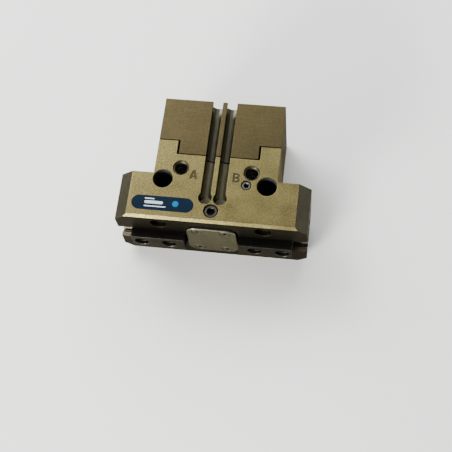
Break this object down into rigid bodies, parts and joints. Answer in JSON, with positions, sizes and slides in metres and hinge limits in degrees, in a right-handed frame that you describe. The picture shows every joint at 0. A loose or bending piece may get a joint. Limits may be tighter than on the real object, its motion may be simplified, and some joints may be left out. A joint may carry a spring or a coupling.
{
  "type": "two-finger parallel pneumatic gripper",
  "caption": "Two-finger parallel pneumatic gripper with toothed jaw guides, wedge hook drive, springs that hold the grip, sensor slots and air ports.",
  "frame": {"origin": "on the back mounting face plane, under the middle of the gripper's width and of its length over the jaws", "axes": "+X along the jaw stroke, towards the right jaw; -Y out of the finger faces of the jaws and +Y out of the base face; +Z out of the front face with the sensor slots and air ports"},
  "size_m": [0.068, 0.051, 0.0302],
  "materials": {
    "anodised_housing": "hard anodised khaki aluminium over a fine bead-blasted surface",
    "anodised_cover": "hard anodised brown-olive aluminium with fine milling lines across",
    "plate_steel": "satin steel plate with a bright edge",
    "jaw_steel": "ground and dark nitrided steel",
    "piston_aluminium": "turned and milled bare aluminium",
    "screw_steel": "oiled black-oxide steel",
    "plug_steel": "bright machined steel",
    "spring_steel": "drawn spring wire",
    "magnet": "nickel-plated magnet",
    "seal_rubber": "matt black nitrile rubber",
    "label_film": "glossy dark blue film with a plain pale border and no print"
  },
  "bodies": {
    "gripper_body": {"housing": "anodised_housing", "cylinder_cover": "anodised_cover", "centre_cover": "plate_steel", "cylinder_seal": "seal_rubber", "rod_seal": "seal_rubber", "name_plate": "label_film", "purge_port_plug": "screw_steel", "passage_plug": "plug_steel", "dowel_pin_left": "plug_steel", "dowel_pin_right": "plug_steel", "base_port_plug_left": "screw_steel", "base_port_plug_right": "screw_steel", "closing_spring_left": "spring_steel", "closing_spring_right": "spring_steel", "centre_cover_screw_front_left": "screw_steel", "centre_cover_screw_front_right": "screw_steel", "centre_cover_screw_back_left": "screw_steel", "centre_cover_screw_back_right": "screw_steel", "clamp_screw_front_left": "screw_steel", "clamp_screw_front_right": "screw_steel", "clamp_screw_back_left": "screw_steel", "clamp_screw_back_right": "screw_steel"},
    "piston_unit": {"piston": "piston_aluminium", "piston_seal": "seal_rubber", "piston_magnet_left": "magnet", "piston_magnet_right": "magnet", "wedge_hook": "jaw_steel", "hook_screw": "screw_steel"},
    "jaw_right": {"base_jaw_right": "jaw_steel"},
    "jaw_left": {"base_jaw_left": "jaw_steel"}
  },
  "joints": [
    {"name": "piston_slide", "type": "slide", "parent": "gripper_body", "child": "piston_unit", "axis": [0, 1, 0], "range_m": [0, 0.005], "stiffness_N_per_m": 1000, "springref_m": -0.005, "deforming": ["closing_spring_left", "closing_spring_right"]},
    {"name": "jaw_right_slide", "type": "slide", "parent": "gripper_body", "child": "jaw_right", "axis": [1, 0, 0], "range_m": [0, 0.004]},
    {"name": "jaw_left_slide", "type": "slide", "parent": "gripper_body", "child": "jaw_left", "axis": [-1, 0, 0], "range_m": [0, 0.004]}
  ],
  "couplings": [
    {"joint": "jaw_right_slide", "follows": "piston_slide", "ratio": 0.8},
    {"joint": "jaw_left_slide", "follows": "piston_slide", "ratio": 0.8}
  ]
}
